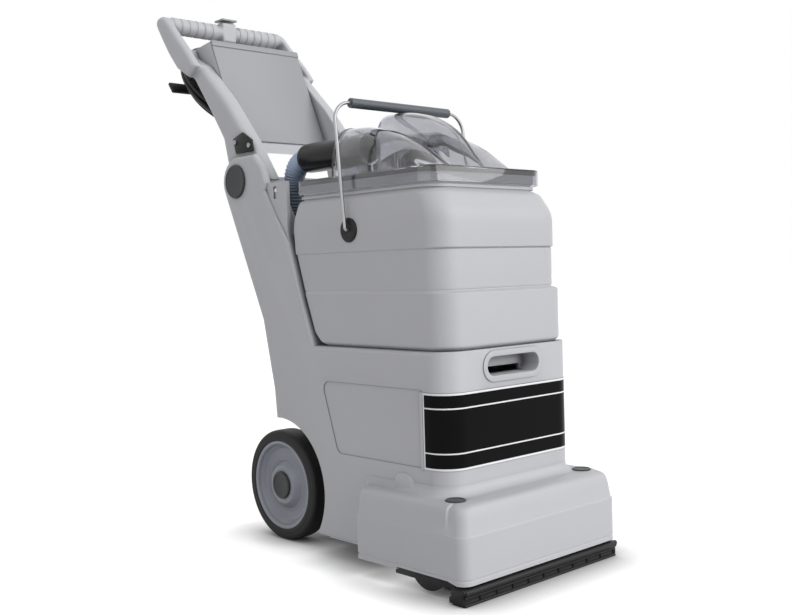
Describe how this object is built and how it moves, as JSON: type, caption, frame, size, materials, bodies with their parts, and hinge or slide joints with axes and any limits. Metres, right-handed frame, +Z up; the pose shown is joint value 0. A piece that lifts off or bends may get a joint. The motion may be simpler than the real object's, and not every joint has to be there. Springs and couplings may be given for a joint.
{
  "type": "carpet extractor",
  "caption": "Walk-behind carpet extractor with rear wheels, lift-off tank under a clear domed lid, powered brush, suction shoe and a folding push handle.",
  "frame": {"origin": "on the floor, under the middle of the machine's length and width, cord left out", "axes": "+Z up, +X to the machine's right, +Y towards the operator"},
  "size_m": [0.373, 0.9308, 1.0359],
  "materials": {
    "body": "fine moulded grain",
    "panel": "smooth moulded",
    "hub": "satin moulded",
    "tyre": "matt rubber",
    "cap": "satin",
    "black": "satin black",
    "film": "gloss black with plain pale lines",
    "clear": "clear moulded plastic",
    "gasket": "soft rubber",
    "rubber": "black rubber",
    "hose": "ribbed blue-grey vinyl",
    "grip": "soft sleeve",
    "steel": "drawn",
    "bright": "bright plated",
    "bristle": "nylon strands",
    "core": "white plastic",
    "alloy": "cast",
    "brass": "turned",
    "float": "hollow float",
    "switch": "satin black"
  },
  "bodies": {
    "chassis": {"base_shell": "body", "front_film": "film", "floor_plate": "steel", "axle": "steel", "wheel_bushes": "core", "axle_clips": "steel", "pivot_shaft": "steel", "pivot_caps": "cap", "shoulder_screws": "steel", "brush_housing": "body", "housing_plugs": "black", "housing_bolts": "steel", "left_brush_plate": "black", "right_brush_plate": "black", "brush_bearings": "brass", "drive_belt": "rubber", "brush_motor": "alloy", "vac_shoe": "black", "shoe_end_caps": "black", "suction_duct": "black", "vacuum_motor": "alloy", "pump": "alloy", "solution_line": "hose", "spray_manifold": "brass", "spray_nozzles": "brass"},
    "left_wheel": {"left_hub": "hub", "left_tyre": "tyre", "left_hub_cap": "cap"},
    "right_wheel": {"right_hub": "hub", "right_tyre": "tyre", "right_hub_cap": "cap"},
    "brush": {"brush_core": "core", "brush_bristles": "bristle", "brush_pulley": "alloy"},
    "motor_drive": {"motor_pulley": "alloy"},
    "handle": {"handle_frame": "body", "lock_plates": "black", "lock_screws": "bright", "console_panel": "panel", "console_box": "body", "cord_hooks": "black", "power_cord": "rubber", "strain_relief": "rubber", "cord_plug": "rubber"},
    "spray_trigger": {"spray_paddle": "panel"},
    "left_rocker": {"left_switch": "switch"},
    "middle_rocker": {"middle_switch": "switch"},
    "right_rocker": {"right_switch": "switch"},
    "tank": {"recovery_tank": "body", "bail_bosses": "black", "clear_lid": "clear", "lid_gasket": "gasket", "float_cage": "core", "hose_cuffs": "rubber", "left_hose": "hose", "right_hose": "hose"},
    "float": {"float_ball": "float"},
    "bail": {"bail_wire": "bright", "bail_grip": "grip"}
  },
  "joints": [
    {"name": "left_wheel_spin", "type": "hinge", "parent": "chassis", "child": "left_wheel", "pos_m": [-0.109, 0.07185, 0.1016], "axis": [1, 0, 0], "continuous": true},
    {"name": "right_wheel_spin", "type": "hinge", "parent": "chassis", "child": "right_wheel", "pos_m": [0.109, 0.07185, 0.1016], "axis": [1, 0, 0], "continuous": true},
    {"name": "brush_spin", "type": "hinge", "parent": "chassis", "child": "brush", "pos_m": [0, -0.36515, 0.048], "axis": [1, 0, 0], "continuous": true},
    {"name": "motor_spin", "type": "hinge", "parent": "chassis", "child": "motor_drive", "pos_m": [0.154, -0.26615, 0.092], "axis": [1, 0, 0], "continuous": true},
    {"name": "handle_fold", "type": "hinge", "parent": "chassis", "child": "handle", "pos_m": [0, 0.15335, 0.6678], "axis": [1, 0, 0], "range_deg": [-75, 0]},
    {"name": "spray_press", "type": "slide", "parent": "handle", "child": "spray_trigger", "axis": [0, 0, 1], "range_m": [-0.003, 0], "stiffness_N_per_m": 900, "springref_m": 0.001},
    {"name": "left_rocker_tip", "type": "hinge", "parent": "handle", "child": "left_rocker", "pos_m": [-0.058, 0.34435, 0.95475], "axis": [1, 0, 0], "range_deg": [-8, 8]},
    {"name": "middle_rocker_tip", "type": "hinge", "parent": "handle", "child": "middle_rocker", "pos_m": [0, 0.34435, 0.95475], "axis": [1, 0, 0], "range_deg": [-8, 8]},
    {"name": "right_rocker_tip", "type": "hinge", "parent": "handle", "child": "right_rocker", "pos_m": [0.058, 0.34435, 0.95475], "axis": [1, 0, 0], "range_deg": [-8, 8]},
    {"name": "tank_lift", "type": "slide", "parent": "chassis", "child": "tank", "axis": [0, 0, 1], "range_m": [0, 0.3]},
    {"name": "float_rise", "type": "slide", "parent": "tank", "child": "float", "axis": [0, 0, 1], "range_m": [0, 0.0554]},
    {"name": "bail_swing", "type": "hinge", "parent": "tank", "child": "bail", "pos_m": [0, -0.16365, 0.562], "axis": [1, 0, 0], "range_deg": [0, 62]}
  ],
  "couplings": [
    {"joint": "motor_spin", "follows": "brush_spin", "ratio": 2}
  ]
}
